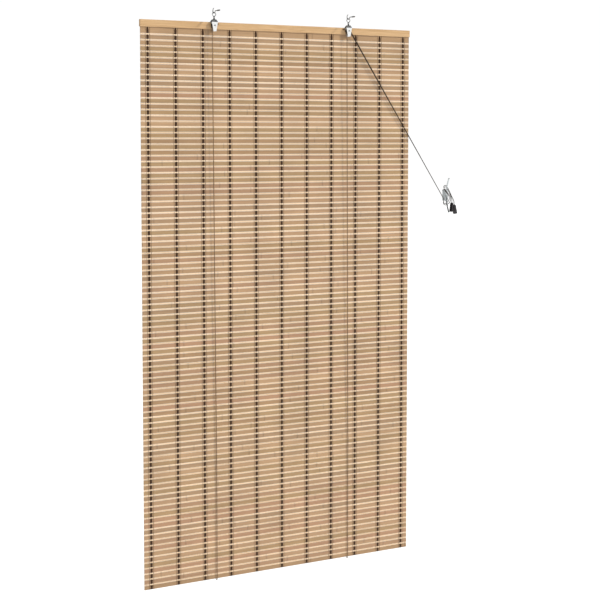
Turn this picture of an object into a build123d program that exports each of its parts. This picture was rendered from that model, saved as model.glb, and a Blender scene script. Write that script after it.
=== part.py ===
from build123d import *
import os
from math import asin, cos, hypot, radians, sin, tan

# A roll-up blind: bamboo slats and thin sticks woven on threads, hung below a wooden head rail.
# Two cords run down the front, under the curtain and up its back, over pulleys on the rail and
# across to a cleat on the wall. x runs along the width, -y faces the room and +z is up. The
# origin is midway between the two hook seats, where the blind's weight hangs.

# Head rail
RAIL_LENGTH = 902.0
RAIL_HEIGHT = 20.0
RAIL_THICKNESS = 8.0
RAIL_TOP_Z = -26.0
RAIL_EDGE = 0.7
KERF_WIDTH = 2.2
KERF_DEPTH = 6.4

# Curtain
CURTAIN_WIDTH = 900.0
PITCH = 15.93
STICK_HEIGHT = 3.6
STICK_DEPTH = 2.6
SLAT_THICKNESS = 2.0
SLAT_GAP = 0.45
SLAT_EDGE = 0.4
TOP_SLAT_SHOWN = 17.4
TOP_SLAT_TONGUE = 6.2
STICK_COUNT = 98
ROLLING_ROWS = 20

# Warp threads
COLUMN_COUNT = 11
COLUMN_SPACING = 85.6
DARK_THREAD_WIDTH = 7.0
SIDE_THREAD_WIDTH = 1.0
SIDE_THREAD_OFFSET = 6.8
THREAD_THICKNESS = 0.7
THREAD_CLEARANCE = 0.2

# Pulleys
PULLEY_X = 225.0
PLATE = 1.0
PLATE_INNER_Y = 4.2
AXLE_Z = -36.8
AXLE_RADIUS = 1.5
RUNNING_CLEARANCE = 0.05
STRAP_TOP_Z = -19.0
STRAP_BOTTOM_Z = -52.0
WHEEL_RADIUS = 7.0
WHEEL_THICKNESS = 3.9
WHEEL_ROOT_RADIUS = 4.6
WHEEL_OFFSET = 2.1
HUB_RADIUS = 3.0

# Eyes and screw hooks
EYE_RADIUS = 5.5
EYE_WIRE = 1.0
HOOK_RADIUS = 7.0
HOOK_WIRE = 1.2
HOOK_SEAT_GAP = 0.3
THREAD_RADIUS = 1.6

# Cords
CORD_RADIUS = 1.0
CORD_GAP = 0.3
CORD_STANDOFF = 3.7
LEFT_STRAND_X = -219.5
RIGHT_STRAND_X = 230.5

# Wall cleat
WALL_Y = 26.0
CLEAT_X = 599.0
CLEAT_Z = -530.0
CLEAT_HALF_LENGTH = 52.0
CLEAT_BAR_RADIUS = 2.2
CLEAT_BODY = (11.0, 15.0, 36.0)
CLEAT_HOLE_RADIUS = 2.0
CLEAT_HOLE_SPACING = 22.0

os.makedirs("parts", exist_ok=True)

RAIL_FRONT_Y = PLATE_INNER_Y + PLATE
RAIL_BACK_Y = RAIL_FRONT_Y + RAIL_THICKNESS
RAIL_BOTTOM_Z = RAIL_TOP_Z - RAIL_HEIGHT
CURTAIN_Y = RAIL_FRONT_Y + RAIL_THICKNESS / 2
SLAT_HEIGHT = PITCH - STICK_HEIGHT - 2 * SLAT_GAP
FIRST_STICK_Z = RAIL_BOTTOM_Z - TOP_SLAT_SHOWN - SLAT_GAP - STICK_HEIGHT / 2
FIXED_ROWS = STICK_COUNT - ROLLING_ROWS
ROLL_TOP_Z = FIRST_STICK_Z - FIXED_ROWS * PITCH
SLAT_DROP = STICK_HEIGHT / 2 + SLAT_GAP + SLAT_HEIGHT / 2
CURTAIN_BOTTOM_Z = FIRST_STICK_Z - (STICK_COUNT - 1) * PITCH - SLAT_DROP - SLAT_HEIGHT / 2
CORD_RUN_RADIUS = WHEEL_ROOT_RADIUS + CORD_GAP + CORD_RADIUS
CORD_RUN_Z = AXLE_Z + CORD_RUN_RADIUS
BACK_RUN_Y = RAIL_BACK_Y + CORD_RADIUS + 1.4


def save(name, *solids):
    """Writes one node: a single solid, or a group of separate ones."""
    shape = solids[0] if len(solids) == 1 else Compound(children=list(solids))
    export_step(shape, f"parts/{name}.step")


def along_x(section, y, z, length):
    """A bar of constant section, centred on x = 0."""
    return extrude(Plane.YZ * Pos(y, z) * section, length / 2, both=True)


def along_y(section, x, z, y_from, y_to):
    """A bar of constant section that runs from y_from to y_to."""
    return extrude(Plane((x, y_from, z), x_dir=(1, 0, 0), z_dir=(0, 1, 0)) * section, y_to - y_from)


def box_between(low, high):
    size = [b - a for a, b in zip(low, high)]
    centre = [(a + b) / 2 for a, b in zip(low, high)]
    return Pos(*centre) * Box(*size)


def tube(path, radius=CORD_RADIUS):
    """A round cord or wire that follows a path."""
    return sweep(Plane(origin=path @ 0, z_dir=path % 0) * Circle(radius), path=path)


# ---------------------------------------------------------------- cord passages and fixings


def passage(x_front, y_front, x_back):
    """The slanting hole that lets a cord through the rail, between its front and its back run."""
    start = Vector(x_front, y_front, CORD_RUN_Z)
    run = Vector(x_back, BACK_RUN_Y, CORD_RUN_Z) - start
    return extrude(Plane(origin=start, z_dir=run) * Circle(CORD_RADIUS + 0.8), run.length)


FRONT_BEND = 215.5
BACK_BEND = 196.5
LEFT_PASSAGE = passage(-FRONT_BEND, 0.0, -BACK_BEND)
RIGHT_PASSAGE = passage(FRONT_BEND, WHEEL_OFFSET, BACK_BEND)

BRAD_RADIUS = 0.6
BRAD_Z = RAIL_BOTTOM_Z + 3.4
BRAD_SPACING = 180.0
brads = [
    along_y(Circle(BRAD_RADIUS), (i - 2) * BRAD_SPACING, BRAD_Z, RAIL_FRONT_Y + 1, RAIL_BACK_Y)
    for i in range(5)
]

STAPLE_WIRE = 1.0
STAPLE_Z = -40.0
STAPLE_HALF_WIDTH = 2.4
BACK_CORD_Y = RAIL_BACK_Y + CORD_RADIUS + 0.2


def cord_staple(x):
    """A staple driven into the back of the rail over the tied end of a cord."""
    crown_y = BACK_CORD_Y + CORD_RADIUS + 0.1
    low_z = STAPLE_Z - STAPLE_WIRE / 2
    high_z = STAPLE_Z + STAPLE_WIRE / 2
    outer = STAPLE_HALF_WIDTH
    inner = STAPLE_HALF_WIDTH - STAPLE_WIRE
    crown = box_between((x - outer, crown_y, low_z), (x + outer, crown_y + STAPLE_WIRE, high_z))
    left = box_between((x - outer, CURTAIN_Y + 1.6, low_z), (x - inner, crown_y, high_z))
    right = box_between((x + inner, CURTAIN_Y + 1.6, low_z), (x + outer, crown_y, high_z))
    return crown + left + right


left_staple = cord_staple(LEFT_STRAND_X)
right_staple = cord_staple(RIGHT_STRAND_X)


# ---------------------------------------------------------------- head rail and top slat


def screw_bore(x):
    return along_y(Circle(AXLE_RADIUS), x, AXLE_Z, RAIL_FRONT_Y, RAIL_BACK_Y - 1)


def head_rail():
    """A batten with chamfered long edges and a saw kerf below that holds the top slat."""
    section = chamfer(Rectangle(RAIL_THICKNESS, RAIL_HEIGHT).vertices(), RAIL_EDGE)
    rail = along_x(section, CURTAIN_Y, RAIL_TOP_Z - RAIL_HEIGHT / 2, RAIL_LENGTH)
    kerf_z = RAIL_BOTTOM_Z + KERF_DEPTH / 2
    rail -= along_x(Rectangle(KERF_WIDTH, KERF_DEPTH), CURTAIN_Y, kerf_z, RAIL_LENGTH)
    cutters = [LEFT_PASSAGE, RIGHT_PASSAGE, left_staple, right_staple]
    cutters += [screw_bore(-PULLEY_X), screw_bore(PULLEY_X)]
    for cutter in cutters + brads:
        rail -= cutter
    return rail


def slat_section(height):
    return chamfer(Rectangle(SLAT_THICKNESS, height).vertices(), SLAT_EDGE)


def top_slat():
    """The first slat, taller than the rest, with its upper edge nailed inside the rail's kerf."""
    height = TOP_SLAT_SHOWN + TOP_SLAT_TONGUE
    z = RAIL_BOTTOM_Z + TOP_SLAT_TONGUE - height / 2
    slat = along_x(slat_section(height), CURTAIN_Y, z, CURTAIN_WIDTH)
    for brad in brads:
        slat -= brad
    return slat


save("head_rail", head_rail())
save("top_slat", top_slat())
save("rail_brads", *brads)
save("left_cord_staple", left_staple)
save("right_cord_staple", right_staple)

# ---------------------------------------------------------------- slats, sticks and threads


def stick(row):
    z = FIRST_STICK_Z - row * PITCH
    return along_x(Ellipse(STICK_DEPTH / 2, STICK_HEIGHT / 2), CURTAIN_Y, z, CURTAIN_WIDTH)


def slat(row):
    z = FIRST_STICK_Z - row * PITCH - SLAT_DROP
    return along_x(slat_section(SLAT_HEIGHT), CURTAIN_Y, z, CURTAIN_WIDTH)


def warp_thread(x, width, y):
    """One warp thread down the hanging part of the curtain, as a plain flat strip."""
    low_z = ROLL_TOP_Z + STICK_HEIGHT / 2 + SLAT_GAP
    half = width / 2
    return box_between((x - half, y, low_z), (x + half, y + THREAD_THICKNESS, RAIL_BOTTOM_Z))


save("wide_slats", *[slat(row) for row in range(FIXED_ROWS)])
save("thin_sticks", *[stick(row) for row in range(FIXED_ROWS)])
for row in range(FIXED_ROWS, STICK_COUNT):
    save(f"rolling_row_{row + 1}", stick(row), slat(row))

columns = [(i - (COLUMN_COUNT - 1) / 2) * COLUMN_SPACING for i in range(COLUMN_COUNT)]
front_thread_y = CURTAIN_Y - STICK_DEPTH / 2 - THREAD_CLEARANCE - THREAD_THICKNESS
back_thread_y = CURTAIN_Y + STICK_DEPTH / 2 + THREAD_CLEARANCE
save("dark_threads", *[warp_thread(x, DARK_THREAD_WIDTH, front_thread_y) for x in columns])
side_xs = [x + side * SIDE_THREAD_OFFSET for x in columns for side in (-1, 1)]
save("side_threads", *[warp_thread(x, SIDE_THREAD_WIDTH, back_thread_y) for x in side_xs])

# ---------------------------------------------------------------- pulleys


def pulley_strap(x):
    """A steel strap folded over at the top into a front and a back plate that taper downwards."""
    outer_y = PLATE_INNER_Y + PLATE
    shoulder_z = STRAP_TOP_Z - 7
    open_z = STRAP_BOTTOM_Z - 2
    fold = Polygon(
        (-outer_y, open_z),
        (outer_y, open_z),
        (outer_y, shoulder_z),
        (3.0, STRAP_TOP_Z),
        (-3.0, STRAP_TOP_Z),
        (-outer_y, shoulder_z),
        align=None,
    )
    hollow = Polygon(
        (-PLATE_INNER_Y, open_z - 1),
        (PLATE_INNER_Y, open_z - 1),
        (PLATE_INNER_Y, shoulder_z - 0.3),
        (2.3, STRAP_TOP_Z - PLATE),
        (-2.3, STRAP_TOP_Z - PLATE),
        (-PLATE_INNER_Y, shoulder_z - 0.3),
        align=None,
    )
    outline = Polygon(
        (-5.0, STRAP_TOP_Z + 1),
        (5.0, STRAP_TOP_Z + 1),
        (9.8, STRAP_TOP_Z - 6),
        (4.5, STRAP_BOTTOM_Z),
        (-4.5, STRAP_BOTTOM_Z),
        (-9.8, STRAP_TOP_Z - 6),
        align=None,
    )
    outline = fillet(outline.vertices(), 1.2)
    strap = extrude(Plane.YZ * (fold - hollow), 12, both=True)
    strap &= extrude(Plane.XZ * outline, outer_y + 1, both=True)
    strap = Pos(x, 0, 0) * strap
    strap -= Pos(x, 0, STRAP_TOP_Z) * Cylinder(AXLE_RADIUS + RUNNING_CLEARANCE, 6)
    strap -= along_y(Circle(AXLE_RADIUS), x, AXLE_Z, -outer_y - 1, outer_y)
    return strap


def axle_screw(x):
    """A round-headed wood screw: the wheels turn on its shank and its end holds in the rail."""
    face_y = PLATE_INNER_Y + PLATE
    head = Sphere(4.0) & Pos(0, 0, 4.0) * Box(9, 9, 4.8)
    head = Plane((x, -face_y + 2.4, AXLE_Z), x_dir=(1, 0, 0), z_dir=(0, -1, 0)) * head
    head &= along_y(Circle(4), x, AXLE_Z, -face_y - 3, -face_y)
    shank = along_y(Circle(AXLE_RADIUS), x, AXLE_Z, -face_y, RAIL_BACK_Y - 2)
    return head + shank


def groove_wheel(x, y, hub_half_length):
    """A grooved wheel on the axle screw, with a hub that keeps it clear of the plates."""
    half = WHEEL_THICKNESS / 2
    bore = AXLE_RADIUS + RUNNING_CLEARANCE
    profile = Polygon(
        (bore, -hub_half_length),
        (HUB_RADIUS, -hub_half_length),
        (HUB_RADIUS, -half),
        (WHEEL_RADIUS, -half),
        (WHEEL_RADIUS, -half + 0.3),
        (WHEEL_ROOT_RADIUS, -1.0),
        (WHEEL_ROOT_RADIUS, 1.0),
        (WHEEL_RADIUS, half - 0.3),
        (WHEEL_RADIUS, half),
        (HUB_RADIUS, half),
        (HUB_RADIUS, hub_half_length),
        (bore, hub_half_length),
        align=None,
    )
    return Pos(x, y, AXLE_Z) * revolve(Plane.XY * profile, Axis.Y)


NARROW_HUB = WHEEL_THICKNESS / 2 + 0.1
WIDE_HUB = PLATE_INNER_Y - 0.15
for side, x in (("left", -PULLEY_X), ("right", PULLEY_X)):
    save(f"{side}_pulley_strap", pulley_strap(x))
    save(f"{side}_axle_screw", axle_screw(x))
save("left_wheel", groove_wheel(-PULLEY_X, 0, WIDE_HUB))
save("right_front_wheel", groove_wheel(PULLEY_X, -WHEEL_OFFSET, NARROW_HUB))
save("right_rear_wheel", groove_wheel(PULLEY_X, WHEEL_OFFSET, NARROW_HUB))

# ---------------------------------------------------------------- eyes and screw hooks


def swivel_eye(x):
    """A ring on a waisted stem, headed over below the strap's top so that it can swivel."""
    ring_z = EYE_WIRE - EYE_RADIUS
    ring = Pos(0, 0, ring_z) * Rot(90, 0, 0) * Torus(EYE_RADIUS, EYE_WIRE)
    neck_z = ring_z - EYE_RADIUS
    stem = Polygon(
        (0, neck_z),
        (1.6, neck_z - 0.2),
        (3.0, neck_z - 1.6),
        (1.8, neck_z - 4.6),
        (3.2, STRAP_TOP_Z + 0.15),
        (AXLE_RADIUS, STRAP_TOP_Z + 0.15),
        (AXLE_RADIUS, STRAP_TOP_Z - PLATE - 0.15),
        (2.0, STRAP_TOP_Z - PLATE - 0.15),
        (1.6, STRAP_TOP_Z - PLATE - 1.5),
        (0, STRAP_TOP_Z - PLATE - 1.5),
        align=None,
    )
    return Pos(x, 0, 0) * (ring + revolve(Plane.XZ * stem, Axis.Z))


def screw_hook(x):
    """A wire bent into an open hook, with a screw end that points away from the blind."""
    loop_z = HOOK_RADIUS - HOOK_WIRE - HOOK_SEAT_GAP
    neck_turn = 70.0
    neck_radius = 2.5
    loop_end = radians(-90 - neck_turn)
    y = HOOK_RADIUS * cos(loop_end) - neck_radius * sin(radians(neck_turn))
    z = loop_z + HOOK_RADIUS * sin(loop_end) - neck_radius * cos(radians(neck_turn)) + neck_radius
    loop = CenterArc((0, loop_z), HOOK_RADIUS, 75, -165 - neck_turn)
    neck = CenterArc((y, z - neck_radius), neck_radius, 90 - neck_turn, neck_turn)
    shank = Line((y, z), (-20, z))
    path = Plane.YZ * (loop + neck + shank)
    hook = tube(Wire(path.edges()), HOOK_WIRE)
    tip = Plane((0, -20, z), x_dir=(1, 0, 0), z_dir=(0, -1, 0))
    hook += tip * Pos(0, 0, 6.5) * Cylinder(THREAD_RADIUS, 13)
    hook += tip * Pos(0, 0, 15.25) * Cone(THREAD_RADIUS, 0.2, 4.5)
    return Pos(x, 0, 0) * hook


for side, x in (("left", -PULLEY_X), ("right", PULLEY_X)):
    save(f"{side}_eye", swivel_eye(x))
    save(f"{side}_hook", screw_hook(x))

# ---------------------------------------------------------------- cleat


def wall_cleat():
    """A cast cleat: a body screwed to the wall and two horns that curve away from it."""
    body = box_between(
        (-CLEAT_BODY[0] / 2, -CLEAT_BODY[1], -CLEAT_BODY[2] / 2),
        (CLEAT_BODY[0] / 2, 0, CLEAT_BODY[2] / 2),
    )
    body = fillet(body.edges().filter_by(Axis.Y), 3.0)
    body = fillet(body.faces().sort_by(Axis.Y)[0].edges(), 1.5)
    middle_y = -13.0
    tip_y = -27.0
    middle = Vector(0, middle_y, 0)
    upper = Vector(0, tip_y, CLEAT_HALF_LENGTH)
    lower = Vector(0, tip_y, -CLEAT_HALF_LENGTH)
    horns = tube(Wire([ThreePointArc(upper, middle, lower)]), CLEAT_BAR_RADIUS)
    cleat = body + horns
    for tip in (upper, lower):
        cleat += Pos(*tip) * Sphere(CLEAT_BAR_RADIUS)
    for side in (-1, 1):
        hole_z = side * CLEAT_HOLE_SPACING / 2
        cleat -= along_y(Circle(CLEAT_HOLE_RADIUS), 0, hole_z, -CLEAT_BODY[1] - 4, 1)
    return Pos(CLEAT_X, WALL_Y, CLEAT_Z) * cleat


save("wall_cleat", wall_cleat())

# ---------------------------------------------------------------- cords that the blind holds


def wire_of(*curves):
    return Wire([edge for curve in curves for edge in curve.edges()])


def leaving_point(wheel_y, target):
    """Where a cord leaves the right wheel for the cleat, and the direction it takes, in x and z."""
    dx = target.X - PULLEY_X
    dz = target.Z - AXLE_Z
    distance = hypot(dx, dz)
    lead = asin(CORD_RUN_RADIUS / distance)
    ex = dx / distance
    ez = dz / distance
    way_x = ex * cos(lead) + ez * sin(lead)
    way_z = ez * cos(lead) - ex * sin(lead)
    point = Vector(PULLEY_X - way_z * CORD_RUN_RADIUS, wheel_y, AXLE_Z + way_x * CORD_RUN_RADIUS)
    return point, Vector(way_x, 0, way_z)


def rise_to_wheel(strand_x, wheel_x, wheel_y):
    """The front strand, from the rolling part of the curtain up to the wheel's left side."""
    foot = Vector(strand_x, CURTAIN_Y - CORD_STANDOFF, ROLL_TOP_Z)
    knee = Vector(wheel_x - CORD_RUN_RADIUS, wheel_y, -120)
    side = Vector(wheel_x - CORD_RUN_RADIUS, wheel_y, AXLE_Z)
    return FilletPolyline(foot, knee, side, radius=2000), side


def over_wheel(start, wheel_x, wheel_y, end):
    """The stretch that lies in the wheel's groove, from start over to end."""
    middle = Vector((start.X + end.X) / 2 - wheel_x, 0, (start.Z + end.Z) / 2 - AXLE_Z)
    middle = middle.normalized() * CORD_RUN_RADIUS
    return ThreePointArc(start, Vector(wheel_x, wheel_y, AXLE_Z) + middle, end)


LEAD_OUT = 6.0


def left_lift_cord(target):
    """Up the front, over the left wheel, through the rail, behind it and over the right wheel."""
    rise, side = rise_to_wheel(LEFT_STRAND_X, -PULLEY_X, 0)
    crest = Vector(-PULLEY_X, 0, CORD_RUN_Z)
    far_crest = Vector(PULLEY_X, WHEEL_OFFSET, CORD_RUN_Z)
    back_run = FilletPolyline(
        crest,
        (-FRONT_BEND, 0, CORD_RUN_Z),
        (-BACK_BEND, BACK_RUN_Y, CORD_RUN_Z),
        (BACK_BEND, BACK_RUN_Y, CORD_RUN_Z),
        (FRONT_BEND, WHEEL_OFFSET, CORD_RUN_Z),
        far_crest,
        radius=16,
    )
    leave, way = leaving_point(WHEEL_OFFSET, target)
    turns = [over_wheel(side, -PULLEY_X, 0, crest), back_run]
    turns += [over_wheel(far_crest, PULLEY_X, WHEEL_OFFSET, leave)]
    return tube(wire_of(rise, *turns, Line(leave, leave + way * LEAD_OUT)))


def right_lift_cord(target):
    """Up the front and over the right front wheel."""
    rise, side = rise_to_wheel(RIGHT_STRAND_X, PULLEY_X, -WHEEL_OFFSET)
    leave, way = leaving_point(-WHEEL_OFFSET, target)
    turn = over_wheel(side, PULLEY_X, -WHEEL_OFFSET, leave)
    return tube(wire_of(rise, turn, Line(leave, leave + way * LEAD_OUT)))


KNOT_RADIUS = 2.4
KNOT_FLAT = 1.8
KNOT_Z = -34.0
KNOT_SHIFT = 1.3


def back_cord(x):
    """The strand behind the curtain, from the rolling part up to its knot on the rail's back."""
    foot = Vector(x, CURTAIN_Y + CORD_STANDOFF, ROLL_TOP_Z)
    knee = Vector(x, BACK_CORD_Y, -120)
    top = Vector(x, BACK_CORD_Y, KNOT_Z - KNOT_FLAT)
    return tube(FilletPolyline(foot, knee, top, radius=2000))


def knot(centre, axis):
    """A pulled-down knot: a ball that is flat where the cord runs into it."""
    ball = Sphere(KNOT_RADIUS) - Pos(0, 0, -KNOT_RADIUS - KNOT_FLAT) * Box(6, 6, 2 * KNOT_RADIUS)
    return Plane(origin=centre, z_dir=axis) * ball


def cord_loop(x):
    """The cord round the rolling part of the curtain: down its front, under it and up its back."""
    front_y = CURTAIN_Y - CORD_STANDOFF
    back_y = CURTAIN_Y + CORD_STANDOFF
    low_z = CURTAIN_BOTTOM_Z - 0.3
    down = Line((x, front_y, ROLL_TOP_Z), (x, front_y, low_z))
    under = ThreePointArc((x, front_y, low_z), (x, CURTAIN_Y, low_z - CORD_STANDOFF), (x, back_y, low_z))
    up = Line((x, back_y, low_z), (x, back_y, ROLL_TOP_Z))
    return tube(wire_of(down, under, up))


for side, x in (("left", LEFT_STRAND_X), ("right", RIGHT_STRAND_X)):
    save(f"{side}_back_cord", back_cord(x))
    save(f"{side}_rail_knot", knot(Vector(x, BACK_CORD_Y + KNOT_SHIFT, KNOT_Z), (0, 0, 1)))
    save(f"{side}_cord_loop", cord_loop(x))

# ---------------------------------------------------------------- pull cords, cleat and knobs

# Each pull cord goes straight down to the cleat, under its lower horn, across its front, behind
# its upper horn and down to a knob. Points are measured from the cleat's centre on the wall:
# across, out from the wall, and up.
RIGHT_ROUTE = [
    (-14, 20.5, -12),
    (-11, 12, -26),
    (-1, 8, -32),
    (10.3, 12.5, -27),
    (11.5, 22, -15),
    (4.5, 27.5, -2),
    (-5.5, 25.5, 10),
    (-11.5, 17, 20),
    (-7.5, 9, 30),
    (3.5, 8.5, 31),
    (9.5, 11, 19),
    (12.5, 17, 7),
    (16, 22, -6),
    (20, 26, -16.5),
    (22.8, 24.5, -30),
]
LEFT_ROUTE = [
    (-11, 17, -13),
    (-8, 9, -24),
    (1.5, 6.5, -28),
    (8.2, 11, -21),
    (8.6, 19, -11),
    (2.5, 23, -1),
    (-5, 21, 9),
    (-8.6, 13.5, 18),
    (-4.5, 7.5, 26),
    (4, 8, 26),
    (7.5, 10.5, 17),
    (8.5, 18, 7),
    (9.6, 25.5, -4),
    (10, 29.5, -12),
    (10, 29, -23),
]


def from_cleat(route):
    return [Vector(CLEAT_X + across, WALL_Y - out, CLEAT_Z + up) for across, out, up in route]


def bend_radii(points):
    """Each bend as large as the shorter of its two runs allows."""
    radii = []
    for before, here, after in zip(points, points[1:], points[2:]):
        run_in = here - before
        run_out = after - here
        shorter = min(run_in.length, run_out.length)
        radii.append(0.45 * shorter / tan(radians(run_in.get_angle(run_out) / 2)))
    return radii


def pull_cord(points):
    """A pull cord's tube, printed with its length and bend radii."""
    radii = bend_radii(points)
    cord = tube(FilletPolyline(*points, radius=radii))
    length = cord.volume / (Circle(CORD_RADIUS).area)
    print(f"length {length:.0f} mm, radii", [round(r, 1) for r in radii])
    return cord


KNOB_LENGTH = 28.0


def cord_knob():
    """A turned bell: a narrow neck with a hole for the cord, and a hollow skirt that hides its knot."""
    profile = Polygon(
        (CORD_RADIUS + 0.2, 0),
        (3.4, 0),
        (4.6, -1.2),
        (5.4, -6),
        (6.6, -22),
        (6.8, -26.5),
        (6.0, -KNOB_LENGTH),
        (4.4, -KNOB_LENGTH),
        (4.0, -14),
        (CORD_RADIUS + 0.2, -14),
        align=None,
    )
    return revolve(Plane.XZ * profile, Axis.Z)


KNOB_CORD = 15.5
for side, wheel_y, route in (("left", WHEEL_OFFSET, LEFT_ROUTE), ("right", -WHEEL_OFFSET, RIGHT_ROUTE)):
    held = from_cleat(route)
    leave, way = leaving_point(wheel_y, held[0])
    start = leave + way * LEAD_OUT
    end_way = (held[-1] - held[-2]).normalized()
    seat = Plane(origin=held[-1], z_dir=end_way * -1)
    end = held[-1] + end_way * KNOB_CORD
    save(f"{side}_pull_cord", pull_cord([start, *held[:-1], end]))
    save(f"{side}_cord_knob", seat * cord_knob())
    save(f"{side}_end_knot", knot(end + end_way * KNOT_FLAT, end_way))

save("left_lift_cord", left_lift_cord(from_cleat(LEFT_ROUTE)[0]))
save("right_lift_cord", right_lift_cord(from_cleat(RIGHT_ROUTE)[0]))
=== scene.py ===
import math

import bpy
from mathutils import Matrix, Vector


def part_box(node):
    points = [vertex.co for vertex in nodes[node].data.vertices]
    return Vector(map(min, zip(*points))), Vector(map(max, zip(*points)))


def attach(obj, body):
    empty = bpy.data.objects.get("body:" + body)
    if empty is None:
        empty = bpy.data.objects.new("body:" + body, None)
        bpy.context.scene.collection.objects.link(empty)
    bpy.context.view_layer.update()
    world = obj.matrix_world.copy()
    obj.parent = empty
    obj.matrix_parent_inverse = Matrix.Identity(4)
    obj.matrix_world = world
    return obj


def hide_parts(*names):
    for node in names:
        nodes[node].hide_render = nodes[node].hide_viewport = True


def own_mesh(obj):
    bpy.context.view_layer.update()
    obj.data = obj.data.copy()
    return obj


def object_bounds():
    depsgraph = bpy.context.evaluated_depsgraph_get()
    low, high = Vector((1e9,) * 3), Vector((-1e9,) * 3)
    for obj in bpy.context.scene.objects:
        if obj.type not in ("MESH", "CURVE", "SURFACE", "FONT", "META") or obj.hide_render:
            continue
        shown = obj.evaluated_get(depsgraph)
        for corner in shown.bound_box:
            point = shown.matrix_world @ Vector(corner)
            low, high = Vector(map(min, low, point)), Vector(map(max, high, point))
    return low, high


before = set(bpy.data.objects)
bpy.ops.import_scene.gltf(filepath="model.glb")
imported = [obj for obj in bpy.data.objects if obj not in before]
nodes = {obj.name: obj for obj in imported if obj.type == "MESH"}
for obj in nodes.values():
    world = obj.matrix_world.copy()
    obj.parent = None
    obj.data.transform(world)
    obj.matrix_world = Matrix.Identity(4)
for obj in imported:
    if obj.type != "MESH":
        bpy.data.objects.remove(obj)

cad_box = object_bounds()

# ---- Camera, floor and light --------------------------------------------------------------
# The blind is seen from its left, with the camera level with its upper part. It hangs in a
# white room with a pale floor. The key light is up at the right and throws the slanting
# cord's shadow on the slats.
CAMERA_PLACE = (-2.273, -3.851, -0.347)
CAMERA_TURN = math.radians(-31.181)
CAMERA_TILT = math.radians(85.583)
SENSOR_WIDTH = 36
FOCAL_SHARE = 2.558
VIEW_SHIFT = -0.075
FARTHEST_SEEN = 100

bpy.ops.object.camera_add(location=CAMERA_PLACE, rotation=(CAMERA_TILT, 0, CAMERA_TURN))
camera = bpy.context.object
camera.data.sensor_width = SENSOR_WIDTH
camera.data.lens = SENSOR_WIDTH * FOCAL_SHARE
camera.data.shift_y = VIEW_SHIFT
camera.data.clip_end = FARTHEST_SEEN
bpy.context.scene.camera = camera


def shader(tree, kind, inputs=(), **settings):
    """A shader node with its settings, its values and its links."""
    made = tree.nodes.new(kind)
    for name, value in settings.items():
        setattr(made, name, value)
    for socket, value in inputs:
        if isinstance(value, bpy.types.NodeSocket):
            tree.links.new(value, made.inputs[socket])
        else:
            made.inputs[socket].default_value = value
    return made


def new_material(name):
    """An empty material: its tree, and its output node."""
    made = bpy.data.materials.new(name)
    made.use_nodes = True
    made.node_tree.nodes.clear()
    output = made.node_tree.nodes.new("ShaderNodeOutputMaterial")
    return made, made.node_tree, output


def ranged(tree, value, low, high, new_low, new_high):
    """A value carried from one range to another."""
    inputs = [(0, value), (1, low), (2, high), (3, new_low), (4, new_high)]
    return shader(tree, "ShaderNodeMapRange", inputs).outputs[0]


def give_surface(tree, output, inputs):
    """The shader of a material, joined to its output node."""
    surface = shader(tree, "ShaderNodeBsdfPrincipled", inputs)
    tree.links.new(surface.outputs[0], output.inputs[0])


FLOOR_GLOW = 0.25
floor_paint, tree, output = new_material("floor_paint")
floor_grain = shader(tree, "ShaderNodeTexNoise", [("Scale", 3.0)]).outputs[0]
floor_look = [("Base Color", ranged(tree, floor_grain, 0.0, 1.0, 0.9, 0.94)), ("Roughness", 0.9)]
floor_look += [("Emission Color", (0.9, 0.95, 1.0, 1)), ("Emission Strength", FLOOR_GLOW)]
give_surface(tree, output, floor_look)

FLOOR_DEPTH = 0.55
FLOOR_SIZE = 60
floor_z = cad_box[0].z - FLOOR_DEPTH
bpy.ops.mesh.primitive_plane_add(size=FLOOR_SIZE, location=(0, 0, floor_z))
floor = bpy.context.object
floor.name = "floor"
floor.data.materials.append(floor_paint)

# The blind is lit from all round, more from above, and its metal mirrors a dark room with one
# bright card in front of it and to its right.
WALL_WHITE = 1.02
FILL_STRENGTH = 0.62
CARD_WAY = (0.51, -0.86, 0.05)
CARD_EDGE = (0.86, 0.93)
CARD_TONES = (0.05, 1.25)
world = bpy.data.worlds.new("studio")
bpy.context.scene.world = world
world.use_nodes = True
sky = world.node_tree
sky.nodes.clear()
ray = shader(sky, "ShaderNodeLightPath").outputs
white_wall = [("Color", (1, 1, 1, 1)), ("Strength", WALL_WHITE)]
seen = shader(sky, "ShaderNodeBackground", white_wall).outputs[0]
way = shader(sky, "ShaderNodeTexCoord").outputs["Generated"]
height = shader(sky, "ShaderNodeSeparateXYZ", [(0, way)]).outputs[2]
level = ranged(sky, height, -0.6, 0.8, 0.45, 1.0)
lit = shader(sky, "ShaderNodeBackground", [("Color", level), ("Strength", FILL_STRENGTH)]).outputs[0]
card_side = shader(sky, "ShaderNodeVectorMath", [(0, way), (1, CARD_WAY)], operation="DOT_PRODUCT")
card = ranged(sky, card_side.outputs["Value"], *CARD_EDGE, *CARD_TONES)
mirrored_room = shader(sky, "ShaderNodeBackground", [("Color", card)]).outputs[0]
light_parts = [(0, ray["Is Glossy Ray"]), (1, lit), (2, mirrored_room)]
lighting = shader(sky, "ShaderNodeMixShader", light_parts).outputs[0]
room_parts = [(0, ray["Is Camera Ray"]), (1, lighting), (2, seen)]
room = shader(sky, "ShaderNodeMixShader", room_parts).outputs[0]
sky.links.new(room, shader(sky, "ShaderNodeOutputWorld").inputs[0])

KEY_TURN = (math.radians(52), math.radians(20), math.radians(38))
KEY_STRENGTH = 3.0
KEY_SPREAD = math.radians(3)
KEY_TINT = (1.0, 0.97, 0.92)
bpy.ops.object.light_add(type="SUN", rotation=KEY_TURN)
key = bpy.context.object
key.data.energy = KEY_STRENGTH
key.data.angle = KEY_SPREAD
key.data.color = KEY_TINT
key.visible_glossy = False
bpy.context.scene.view_settings.view_transform = "Standard"

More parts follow.
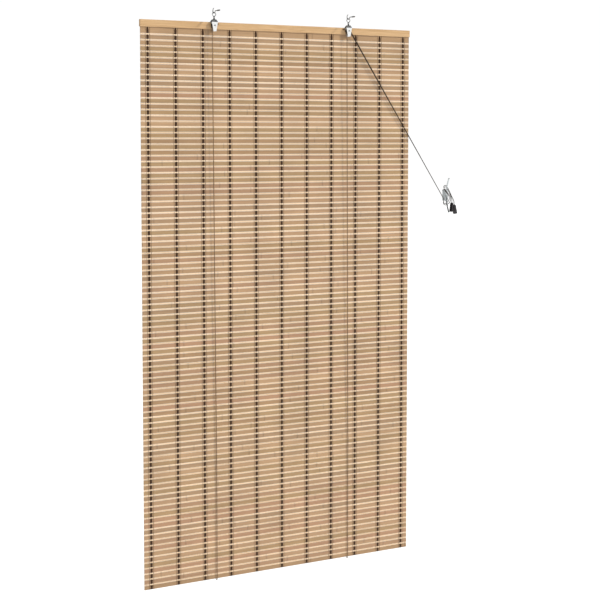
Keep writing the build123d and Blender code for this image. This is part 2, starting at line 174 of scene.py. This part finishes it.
# ---- Bamboo slats and sticks ----------------------------------------------------------------
# Wide slats are split from the wall of the cane, planed and steamed to a light brown, so each
# has its own tone. The thin sticks between them are pale splits left round. Fibres run along
# both, and every third of a metre or so a slat or stick shows a ring of the cane.
PITCH = 0.01593
FIXED_ROWS = 78
STICK_COUNT = 98
ROW_MARGIN = 0.000225
FIRST_ROW_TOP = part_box("thin_sticks")[1].z + ROW_MARGIN
SLAT_TONES = [
    (0.335, 0.209, 0.109),
    (0.374, 0.237, 0.127),
    (0.358, 0.217, 0.123),
    (0.352, 0.231, 0.118),
    (0.392, 0.247, 0.138),
    (0.339, 0.219, 0.123),
    (0.379, 0.222, 0.127),
    (0.344, 0.222, 0.112),
    (0.409, 0.261, 0.144),
]
STICK_TONES = [(0.715, 0.53, 0.34), (0.77, 0.58, 0.385), (0.675, 0.49, 0.305)]


def new_group(name, inputs, outputs):
    """A shader node group with plain number inputs, and its input and output nodes."""
    made = bpy.data.node_groups.new(name, "ShaderNodeTree")
    for label, value in inputs.items():
        socket = made.interface.new_socket(label, in_out="INPUT", socket_type="NodeSocketFloat")
        socket.default_value = value
    for label, kind in outputs.items():
        made.interface.new_socket(label, in_out="OUTPUT", socket_type=kind)
    return made, made.nodes.new("NodeGroupInput"), made.nodes.new("NodeGroupOutput")


def maths(tree, operation, *values):
    """The output of a math node."""
    return shader(tree, "ShaderNodeMath", list(enumerate(values)), operation=operation).outputs[0]


def object_place(tree):
    """Where a spot lies on the piece, in metres."""
    return shader(tree, "ShaderNodeTexCoord").outputs["Object"]


def noise(tree, place, scale, detail=2.0, distortion=0.0):
    """A cloudy value that changes from place to place."""
    inputs = [("Vector", place), ("Scale", scale), ("Detail", detail), ("Distortion", distortion)]
    return shader(tree, "ShaderNodeTexNoise", inputs).outputs[0]


def toned(tree, colour, factor):
    """A colour made darker or lighter by a value."""
    inputs = [(0, colour), ("Scale", factor)]
    return shader(tree, "ShaderNodeVectorMath", inputs, operation="SCALE").outputs[0]


def relief(tree, height, strength, distance):
    """The surface's slope that a value makes when it stands for height."""
    inputs = [("Height", height), ("Strength", strength), ("Distance", distance)]
    return shader(tree, "ShaderNodeBump", inputs).outputs[0]


# Most of a noise's values lie in this range.
NOISE_RANGE = (0.3, 0.7)
FIBRE_RATE = 7.0
FIBRE_SHIFT = 50.0
RING_RATE = 2.9
RING_SHIFT = 7.3
RING_WIDTH = 0.008
cane, given, result = new_group(
    "cane_fibres",
    {"Row Height": PITCH, "Row Top": FIRST_ROW_TOP, "Fibre Scale": 900.0},
    {"Row": "NodeSocketFloat", "Fibres": "NodeSocketFloat", "Ring": "NodeSocketFloat"},
)
place = shader(cane, "ShaderNodeSeparateXYZ", [(0, object_place(cane))]).outputs
drop = maths(cane, "SUBTRACT", given.outputs["Row Top"], place[2])
number = maths(cane, "FLOOR", maths(cane, "DIVIDE", drop, given.outputs["Row Height"]))
chance = shader(cane, "ShaderNodeTexWhiteNoise", [("W", number)], noise_dimensions="1D").outputs["Value"]
row_shift = maths(cane, "MULTIPLY", chance, FIBRE_SHIFT)
along = maths(cane, "MULTIPLY_ADD", place[0], FIBRE_RATE, row_shift)
across = maths(cane, "MULTIPLY", place[2], given.outputs["Fibre Scale"])
depth = maths(cane, "MULTIPLY", place[1], given.outputs["Fibre Scale"])
stretched = shader(cane, "ShaderNodeCombineXYZ", [(0, along), (1, depth), (2, across)]).outputs[0]
ring_shift = maths(cane, "MULTIPLY", chance, RING_SHIFT)
ring_place = maths(cane, "FRACT", maths(cane, "MULTIPLY_ADD", place[0], RING_RATE, ring_shift))
ring_gap = maths(cane, "ABSOLUTE", maths(cane, "SUBTRACT", ring_place, 0.5))
cane.links.new(chance, result.inputs["Row"])
cane.links.new(noise(cane, stretched, 1.0, 4.0), result.inputs["Fibres"])
cane.links.new(ranged(cane, ring_gap, 0.0, RING_WIDTH, 1.0, 0.0), result.inputs["Ring"])


def bamboo(name, tones, dark, light, roughness, bump):
    """A bamboo finish: one tone a row, darkened and lightened along the fibres."""
    made, tree, output = new_material(name)
    grain = shader(tree, "ShaderNodeGroup", node_tree=cane).outputs
    ramp = shader(tree, "ShaderNodeValToRGB", [(0, grain["Row"])])
    ramp.color_ramp.interpolation = "CONSTANT"
    while len(ramp.color_ramp.elements) < len(tones):
        ramp.color_ramp.elements.new(0.5)
    for i, tone in enumerate(tones):
        ramp.color_ramp.elements[i].position = i / len(tones)
        ramp.color_ramp.elements[i].color = (*tone, 1)
    patches = noise(tree, object_place(tree), 9.0, 1.0)
    patch = ranged(tree, patches, *NOISE_RANGE, 0.93, 1.07)
    shade = ranged(tree, grain["Fibres"], *NOISE_RANGE, dark, light)
    ringed = maths(tree, "MULTIPLY_ADD", grain["Ring"], -0.3, 1.0)
    tone = maths(tree, "MULTIPLY", maths(tree, "MULTIPLY", shade, patch), ringed)
    look = [
        ("Base Color", toned(tree, ramp.outputs[0], tone)),
        ("Roughness", maths(tree, "MULTIPLY_ADD", grain["Fibres"], 0.25, roughness)),
        ("Normal", relief(tree, grain["Fibres"], 0.5, bump)),
    ]
    give_surface(tree, output, look)
    return made


def paint_node(name, material, slot=0):
    """Gives a carried-over node its material."""
    piece = nodes[name]
    if slot == 0:
        piece.data.materials.clear()
    piece.data.materials.append(material)


slat_bamboo = bamboo("slat_bamboo", SLAT_TONES, 0.86, 1.13, 0.45, 0.00012)
stick_bamboo = bamboo("stick_bamboo", STICK_TONES, 0.9, 1.08, 0.4, 0.00008)
for name in ("wide_slats", "top_slat"):
    paint_node(name, slat_bamboo)
paint_node("thin_sticks", stick_bamboo)
STICK_BAND = 0.0040
for row in range(FIXED_ROWS, STICK_COUNT):
    name = f"rolling_row_{row + 1}"
    paint_node(name, slat_bamboo)
    paint_node(name, stick_bamboo, 1)
    stick_end = FIRST_ROW_TOP - row * PITCH - STICK_BAND
    mesh = nodes[name].data
    for face in mesh.polygons:
        face.material_index = 1 if face.center.z > stick_end else 0

# ---- Head rail ------------------------------------------------------------------------------
# A planed batten of pale softwood with a thin clear lacquer. The grain runs along it in long
# wavy lines, a little darker in the late wood.
GRAIN_STRETCH = (1.6, 55.0, 55.0)
PORE_STRETCH = (20.0, 1400.0, 1400.0)
GRAIN_LINES = 46.0
EARLY_WOOD = (0.57, 0.372, 0.190, 1)
LATE_WOOD = (0.48, 0.295, 0.138, 1)


def stretched_place(tree, stretch):
    """Where a spot lies on the piece, on axes stretched to the pattern."""
    inputs = [("Vector", object_place(tree)), ("Scale", stretch)]
    return shader(tree, "ShaderNodeMapping", inputs).outputs[0]


rail_wood, tree, output = new_material("rail_wood")
wander = noise(tree, stretched_place(tree, GRAIN_STRETCH), 2.0, 3.0, 0.6)
lines = maths(tree, "SINE", maths(tree, "MULTIPLY", wander, GRAIN_LINES))
tint = shader(tree, "ShaderNodeValToRGB", [(0, ranged(tree, lines, -1.0, 1.0, 0.0, 1.0))])
tint.color_ramp.elements[0].color = EARLY_WOOD
tint.color_ramp.elements[1].color = LATE_WOOD
pores = noise(tree, stretched_place(tree, PORE_STRETCH), 1.0)
worn = ranged(tree, pores, *NOISE_RANGE, 0.9, 1.08)
rail_look = [("Base Color", toned(tree, tint.outputs[0], worn)), ("Roughness", 0.42)]
rail_look += [("Normal", relief(tree, pores, 0.3, 0.0001)), ("Coat Weight", 0.15)]
give_surface(tree, output, rail_look)
paint_node("head_rail", rail_wood)

# ---- Warp threads ---------------------------------------------------------------------------
# Eleven flat dark threads hold the rows. Each lies over a slat, dives through the gap, passes
# behind the next stick and comes out again. A thin brown thread is sewn down each side of it,
# over and behind every row, front and back.
STRAND_SLOPE = 1.6
FULL_TURN = 6.28
FLUFF_SCALE = 1500.0
yarn, given, result = new_group(
    "yarn_twist", {"Turns": 1500.0}, {"Strand": "NodeSocketFloat", "Fluff": "NodeSocketFloat"}
)
place = shader(yarn, "ShaderNodeSeparateXYZ", [(0, object_place(yarn))]).outputs
slant = maths(yarn, "ADD", place[0], maths(yarn, "MULTIPLY", place[2], STRAND_SLOPE))
twisting = maths(yarn, "MULTIPLY", given.outputs["Turns"], FULL_TURN)
strand = maths(yarn, "SINE", maths(yarn, "MULTIPLY", slant, twisting))
yarn.links.new(strand, result.inputs["Strand"])
yarn.links.new(noise(yarn, object_place(yarn), FLUFF_SCALE), result.inputs["Fluff"])


def spun(name, deep, pale, turns, bump):
    """A yarn or cord finish: twisted strands with a little fluff."""
    made, tree, output = new_material(name)
    twist = shader(tree, "ShaderNodeGroup", node_tree=yarn)
    twist.inputs["Turns"].default_value = turns
    both = maths(tree, "MULTIPLY_ADD", twist.outputs["Strand"], 0.3, twist.outputs["Fluff"])
    ramp = shader(tree, "ShaderNodeValToRGB", [(0, both)])
    ramp.color_ramp.elements[0].position = 0.2
    ramp.color_ramp.elements[0].color = (*deep, 1)
    ramp.color_ramp.elements[1].position = 0.8
    ramp.color_ramp.elements[1].color = (*pale, 1)
    look = [("Base Color", ramp.outputs[0]), ("Roughness", 0.85)]
    look += [("Normal", relief(tree, both, 0.6, bump)), ("Sheen Weight", 0.04)]
    give_surface(tree, output, look)
    return made


dark_yarn = spun("dark_yarn", (0.020, 0.007, 0.002), (0.064, 0.026, 0.007), 420.0, 0.0003)
side_yarn = spun("side_yarn", (0.095, 0.052, 0.027), (0.20, 0.12, 0.066), 900.0, 0.0002)

MM = 0.001
ROW_DROP = PITCH / MM
MERGE_GAP = 0.00001
DARK_FACETS = 6
SIDE_FACETS = 4
COLUMN_COUNT = 11
COLUMN_SPACING = 0.0856
SIDE_OFFSET = 0.0068
CURTAIN_Y = sum(corner.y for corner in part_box("wide_slats")) / 2

# Each station of a strand is a drop, depth, width and thickness, in millimetres.
DARK_STATIONS = [
    (0.0, 0.0, 4.6, 0.45),
    (0.7, 1.15, 4.8, 0.6),
    (2.03, 1.72, 5.0, 0.65),
    (3.35, 1.15, 4.8, 0.6),
    (4.05, 0.0, 4.8, 0.45),
    (4.75, -1.22, 6.6, 0.6),
    (6.1, -1.5, 7.3, 0.75),
    (9.9, -1.5, 6.3, 0.75),
    (13.7, -1.5, 7.3, 0.75),
    (15.2, -1.22, 6.4, 0.6),
    (ROW_DROP, 0.0, 4.6, 0.45),
]
SIDE_STATIONS = [
    (0.0, -1.0, 0.8, 0.5),
    (2.03, -1.62, 1.0, 0.55),
    (4.05, -1.0, 0.8, 0.5),
    (5.6, -1.35, 1.0, 0.6),
    (14.4, -1.35, 1.0, 0.6),
    (ROW_DROP, -1.0, 0.8, 0.5),
]


def woven_strand(x, top, stations, sides):
    """A flat strand that hangs from a height and follows its stations."""
    steps = len(stations) - 1
    bpy.ops.object.select_all(action="DESELECT")
    bpy.ops.mesh.primitive_grid_add(x_subdivisions=sides, y_subdivisions=steps, size=1)
    strand = bpy.context.object
    for vertex in strand.data.vertices:
        turn = (vertex.co.x + 0.5) * math.tau
        drop, depth, width, thickness = stations[round((vertex.co.y + 0.5) * steps)]
        across = width / 2 * math.cos(turn)
        out = depth + thickness / 2 * math.sin(turn)
        vertex.co = (x + across * MM, CURTAIN_Y + out * MM, top - drop * MM)
    bpy.ops.object.mode_set(mode="EDIT")
    bpy.ops.mesh.select_all(action="SELECT")
    bpy.ops.mesh.remove_doubles(threshold=MERGE_GAP)
    bpy.ops.mesh.normals_make_consistent(inside=False)
    bpy.ops.object.mode_set(mode="OBJECT")
    return strand


def joined(parts, name):
    """Several meshes made one piece."""
    bpy.ops.object.select_all(action="DESELECT")
    for part in parts:
        part.select_set(True)
    bpy.context.view_layer.objects.active = parts[0]
    if len(parts) > 1:
        bpy.ops.object.join()
    made = bpy.context.object
    made.name = name
    bpy.ops.object.shade_smooth()
    return made


def repeat(piece, count, step):
    """Copies a mesh along a step, in one mesh."""
    bpy.ops.object.select_all(action="DESELECT")
    piece.select_set(True)
    bpy.context.view_layer.objects.active = piece
    array = piece.modifiers.new("copies", "ARRAY")
    array.count = count
    array.use_relative_offset = False
    array.use_constant_offset = True
    array.constant_offset_displace = step
    bpy.ops.object.modifier_apply(modifier=array.name)


def mirrored(stations):
    """The same strand on the back of the curtain."""
    return [(drop, -depth, width, thickness) for drop, depth, width, thickness in stations]


FIRST_COLUMN = -(COLUMN_COUNT - 1) / 2 * COLUMN_SPACING
RAIL_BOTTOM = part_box("head_rail")[0].z
RAIL_GAP = 0.1
TOP_START = RAIL_GAP - (RAIL_BOTTOM - FIRST_ROW_TOP) / MM
FRONT_STATIONS = DARK_STATIONS[5:]
TOP_STATIONS = [(TOP_START, -1.0, 3.4, 0.5)]
TOP_STATIONS += [(drop - ROW_DROP, *rest) for drop, *rest in FRONT_STATIONS]
SIDE_TOP_STATIONS = [(TOP_START, -1.3, 1.0, 0.5), (-8.0, -1.35, 1.0, 0.6), (0.0, -1.0, 0.8, 0.5)]


def dark_row(top, stations=DARK_STATIONS):
    """The dark thread of one row, at the first column."""
    return [woven_strand(FIRST_COLUMN, top, stations, DARK_FACETS)]


def side_row(top, stations=SIDE_STATIONS):
    """The thin threads of one row, front and back, at both sides of the first dark thread."""
    strands = []
    for side in (-1, 1):
        x = FIRST_COLUMN + side * SIDE_OFFSET
        strands.append(woven_strand(x, top, stations, SIDE_FACETS))
        strands.append(woven_strand(x, top, mirrored(stations), SIDE_FACETS))
    return strands


def thread_piece(name, material, slot, body, parts, rows=1, replaced=None):
    """One row's strands, copied down the rows and across the columns, as one piece."""
    piece = joined(parts, name)
    if rows > 1:
        repeat(piece, rows, (0, 0, -PITCH))
    repeat(piece, COLUMN_COUNT, (COLUMN_SPACING, 0, 0))
    piece.data.materials.append(material)
    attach(piece, body)
    if replaced:
        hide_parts(replaced)


DARK = (dark_yarn, "dark_thread")
SIDE = (side_yarn, "side_thread")
thread_piece("dark_warp", *DARK, "blind", dark_row(FIRST_ROW_TOP), FIXED_ROWS, "dark_threads")
thread_piece("side_warp", *SIDE, "blind", side_row(FIRST_ROW_TOP), FIXED_ROWS, "side_threads")
thread_piece("dark_warp_top", *DARK, "blind", dark_row(FIRST_ROW_TOP, TOP_STATIONS))
thread_piece("side_warp_top", *SIDE, "blind", side_row(FIRST_ROW_TOP, SIDE_TOP_STATIONS))
for row in range(FIXED_ROWS, STICK_COUNT):
    top = FIRST_ROW_TOP - row * PITCH
    body = f"row_{row + 1}"
    thread_piece(f"dark_warp_{body}", *DARK, body, dark_row(top))
    thread_piece(f"side_warp_{body}", *SIDE, body, side_row(top))

# ---- Plated steel: straps, screws, eyes, hooks, brads and staples --------------------------
# Pressed and turned steel with bright nickel plate, a little uneven and with fine rub marks.
# The wire of the eyes and hooks has a duller, darker plate.
SCRATCH_STRETCH = (4000.0, 4000.0, 300.0)


def plated(name, colour, roughness, spread):
    """A metal finish with faint cloudy marks in its gloss."""
    made, tree, output = new_material(name)
    clouds = noise(tree, object_place(tree), 180.0, 4.0)
    scratches = noise(tree, stretched_place(tree, SCRATCH_STRETCH), 1.0)
    look = [
        ("Base Color", toned(tree, colour, ranged(tree, clouds, 0.0, 1.0, 1.0, 0.86))),
        ("Metallic", 1.0),
        ("Roughness", ranged(tree, clouds, *NOISE_RANGE, roughness, roughness + spread)),
        ("Normal", relief(tree, scratches, 0.08, 0.00005)),
    ]
    give_surface(tree, output, look)
    return made


nickel = plated("nickel_plate", (0.78, 0.79, 0.78), 0.12, 0.16)
for name in ("rail_brads", "left_cord_staple", "right_cord_staple"):
    paint_node(name, nickel)
wire_plate = plated("wire_plate", (0.34, 0.34, 0.335), 0.22, 0.12)
for side in ("left", "right"):
    for name in ("pulley_strap", "axle_screw"):
        paint_node(f"{side}_{name}", nickel)
    for name in ("eye", "hook"):
        paint_node(f"{side}_{name}", wire_plate)

# The screw end of each hook has a rolled thread, up to its plain point.
THREAD_TURNS = 10
THREAD_LEAD = 0.0013
THREAD_REACH = 0.00042
THREAD_SINK = 0.0001
THREAD_STEPS = 20
POINT_LENGTH = 0.0045
CORE_RADIUS = 0.0016
SHANK_Z = 0.00475
RIDGE_OUTLINE = ((-THREAD_SINK, THREAD_REACH), (THREAD_REACH, 0.0), (-THREAD_SINK, -THREAD_REACH))
for side in ("left", "right"):
    hook_low, hook_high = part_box(f"{side}_hook")
    axis_x = (hook_low.x + hook_high.x) / 2
    start_y = hook_low.y + POINT_LENGTH + THREAD_TURNS * THREAD_LEAD
    bpy.ops.object.select_all(action="DESELECT")
    bpy.ops.mesh.primitive_circle_add(vertices=3, radius=THREAD_REACH)
    ridge = bpy.context.object
    for vertex, (reach, rise) in zip(ridge.data.vertices, RIDGE_OUTLINE):
        vertex.co = (CORE_RADIUS + reach, 0, rise)
    turn = ridge.modifiers.new("thread", "SCREW")
    turn.axis = "Z"
    turn.iterations = THREAD_TURNS
    turn.steps = turn.render_steps = THREAD_STEPS
    turn.screw_offset = THREAD_LEAD
    bpy.ops.object.modifier_apply(modifier=turn.name)
    for vertex in ridge.data.vertices:
        x, y, z = vertex.co
        vertex.co = (axis_x + x, start_y - z, SHANK_Z + y)
    bpy.ops.object.mode_set(mode="EDIT")
    bpy.ops.mesh.select_all(action="SELECT")
    bpy.ops.mesh.normals_make_consistent(inside=False)
    bpy.ops.object.mode_set(mode="OBJECT")
    ridge.name = f"{side}_hook_thread"
    ridge.data.materials.append(wire_plate)
    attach(ridge, f"{side}_hanger")

# ---- Pulley wheels, cord knobs and cleat ----------------------------------------------------
# The wheels and the bell-shaped knobs are black mouldings, the knobs polished. The cleat is a
# grey casting with a satin plate.


def moulded(name, colour, roughness):
    """A moulded plastic finish with a very fine orange-peel surface."""
    made, tree, output = new_material(name)
    peel = noise(tree, object_place(tree), 700.0)
    haze = noise(tree, object_place(tree), 120.0)
    look = [
        ("Base Color", toned(tree, colour, ranged(tree, haze, 0.0, 1.0, 0.8, 1.25))),
        ("Roughness", ranged(tree, haze, 0.0, 1.0, roughness, roughness + 0.12)),
        ("Normal", relief(tree, peel, 0.1, 0.0001)),
    ]
    give_surface(tree, output, look)
    return made


wheel_plastic = moulded("wheel_plastic", (0.02, 0.02, 0.021), 0.38)
knob_plastic = moulded("knob_plastic", (0.014, 0.011, 0.014), 0.1)
cleat_metal = plated("cleat_plate", (0.62, 0.66, 0.67), 0.3, 0.12)
for name in ("left_wheel", "right_front_wheel", "right_rear_wheel"):
    paint_node(name, wheel_plastic)
for name in ("left_cord_knob", "right_cord_knob"):
    paint_node(name, knob_plastic)
paint_node("wall_cleat", cleat_metal)

# ---- Cords ----------------------------------------------------------------------------------
# Two brown braided cords, 2 mm across. Each is stapled to the back of the rail, goes down the
# back, under the curtain and up its front to its pulley. Both go on to the cleat, are wound
# once over its horns and end in the knobs. The free ends and their knots are the same cord
# painted darker, as painted shade.
# Painted shade: the free pull cords and end knots get a darker copy of the cord's own colour.
shaded_cord_braid = spun("shaded_cord_braid", (0.017, 0.011, 0.006), (0.034, 0.022, 0.012), 760.0, 0.0003)
lift_braid = spun("lift_braid", (0.110, 0.064, 0.033), (0.190, 0.118, 0.065), 760.0, 0.0003)
CORD_RADIUS = 0.001
CORD_STEPS = 10
for side in ("left", "right"):
    for name in ("lift_cord", "back_cord", "rail_knot"):
        paint_node(f"{side}_{name}", lift_braid)
    paint_node(f"{side}_end_knot", shaded_cord_braid)


def cord_curve(name, points, material):
    """A round cord along one smooth line that its points draw towards them."""
    line = bpy.data.curves.new(name, "CURVE")
    line.dimensions = "3D"
    line.bevel_depth = CORD_RADIUS
    line.bevel_resolution = 3
    line.use_fill_caps = True
    spline = line.splines.new("NURBS")
    spline.points.add(len(points) - 1)
    for point, place in zip(spline.points, points):
        point.co = (*place, 1)
    spline.order_u = 3
    spline.use_endpoint_u = True
    spline.resolution_u = CORD_STEPS
    made = bpy.data.objects.new(name, line)
    bpy.context.collection.objects.link(made)
    line.materials.append(material)
    return made


# Under the rolling rows each cord is a loop. On the real blind it draws up with the roll; here
# it is one fixed piece on the blind's body.
for side in ("left", "right"):
    low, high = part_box(f"{side}_cord_loop")
    x = (low.x + high.x) / 2
    front = low.y + CORD_RADIUS
    back = high.y - CORD_RADIUS
    bottom = low.z + CORD_RADIUS
    bend = (back - front) / 2
    points = [
        (x, front, high.z),
        (x, front, bottom + 2 * bend),
        (x, front, bottom + 0.3 * bend),
        (x, (front + back) / 2, bottom - 0.2 * bend),
        (x, back, bottom + 0.3 * bend),
        (x, back, bottom + 2 * bend),
        (x, back, high.z),
    ]
    loop = cord_curve(f"{side}_loop", points, lift_braid)
    bpy.ops.object.select_all(action="DESELECT")
    loop.select_set(True)
    bpy.context.view_layer.objects.active = loop
    bpy.ops.object.convert(target="MESH")
    bpy.ops.object.shade_smooth()
    loop = bpy.context.object
    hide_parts(f"{side}_cord_loop")
    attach(loop, "blind")
    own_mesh(loop)

# The free cords: straight from the pulley to the cleat, under its lower horn, across its front,
# behind its upper horn and down to the knob. Points are across, out from the wall and up, in
# millimetres from the middle of the cleat's back.
RIGHT_ROUTE = [
    (-14, 20.5, -12),
    (-11, 12, -26),
    (-1, 8, -32),
    (10.3, 12.5, -27),
    (11.5, 22, -15),
    (4.5, 27.5, -2),
    (-5.5, 25.5, 10),
    (-11.5, 17, 20),
    (-7.5, 9, 30),
    (3.5, 8.5, 31),
    (9.5, 11, 19),
    (12.5, 17, 7),
    (16, 22, -6),
    (20, 26, -16.5),
    (22.8, 24.5, -30),
]
LEFT_ROUTE = [
    (-11, 17, -13),
    (-8, 9, -24),
    (1.5, 6.5, -28),
    (8.2, 11, -21),
    (8.6, 19, -11),
    (2.5, 23, -1),
    (-5, 21, 9),
    (-8.6, 13.5, 18),
    (-4.5, 7.5, 26),
    (4, 8, 26),
    (7.5, 10.5, 17),
    (8.5, 18, 7),
    (9.6, 25.5, -4),
    (10, 29.5, -12),
    (10, 29, -23),
]
cleat_low, cleat_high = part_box("wall_cleat")
CLEAT = Vector(((cleat_low.x + cleat_high.x) / 2, cleat_high.y, (cleat_low.z + cleat_high.z) / 2))
AXLE_X = 0.225
AXLE_Z = -0.0368
WHEEL_OFFSET = 0.0021
GROOVE_RADIUS = 0.0059
LEAD_OUT = 0.006
KNOB_CORD = 0.0155
STRAIGHT_END = 0.014


def pull_cord(side, wheel_y, route):
    """A free cord: tangent from its wheel, along its route at the cleat, into its knob."""
    held = [CLEAT + Vector((across, -out, up)) * MM for across, out, up in route]
    dx = held[0].x - AXLE_X
    dz = held[0].z - AXLE_Z
    distance = math.hypot(dx, dz)
    lead = math.asin(GROOVE_RADIUS / distance)
    way_x = (dx * math.cos(lead) + dz * math.sin(lead)) / distance
    way_z = (dz * math.cos(lead) - dx * math.sin(lead)) / distance
    start = Vector((AXLE_X - way_z * GROOVE_RADIUS, wheel_y, AXLE_Z + way_x * GROOVE_RADIUS))
    start += Vector((way_x, 0, way_z)) * LEAD_OUT
    taut = held[0] + (start - held[0]).normalized() * STRAIGHT_END
    end = held[-1] + (held[-1] - held[-2]).normalized() * KNOB_CORD
    # The free cord wears the cord colour painted darker, as painted shade.
    cord = cord_curve(f"{side}_pull", [start, taut, *held, end], shaded_cord_braid)
    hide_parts(f"{side}_pull_cord")
    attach(cord, "blind")


pull_cord("left", WHEEL_OFFSET, LEFT_ROUTE)
pull_cord("right", -WHEEL_OFFSET, RIGHT_ROUTE)
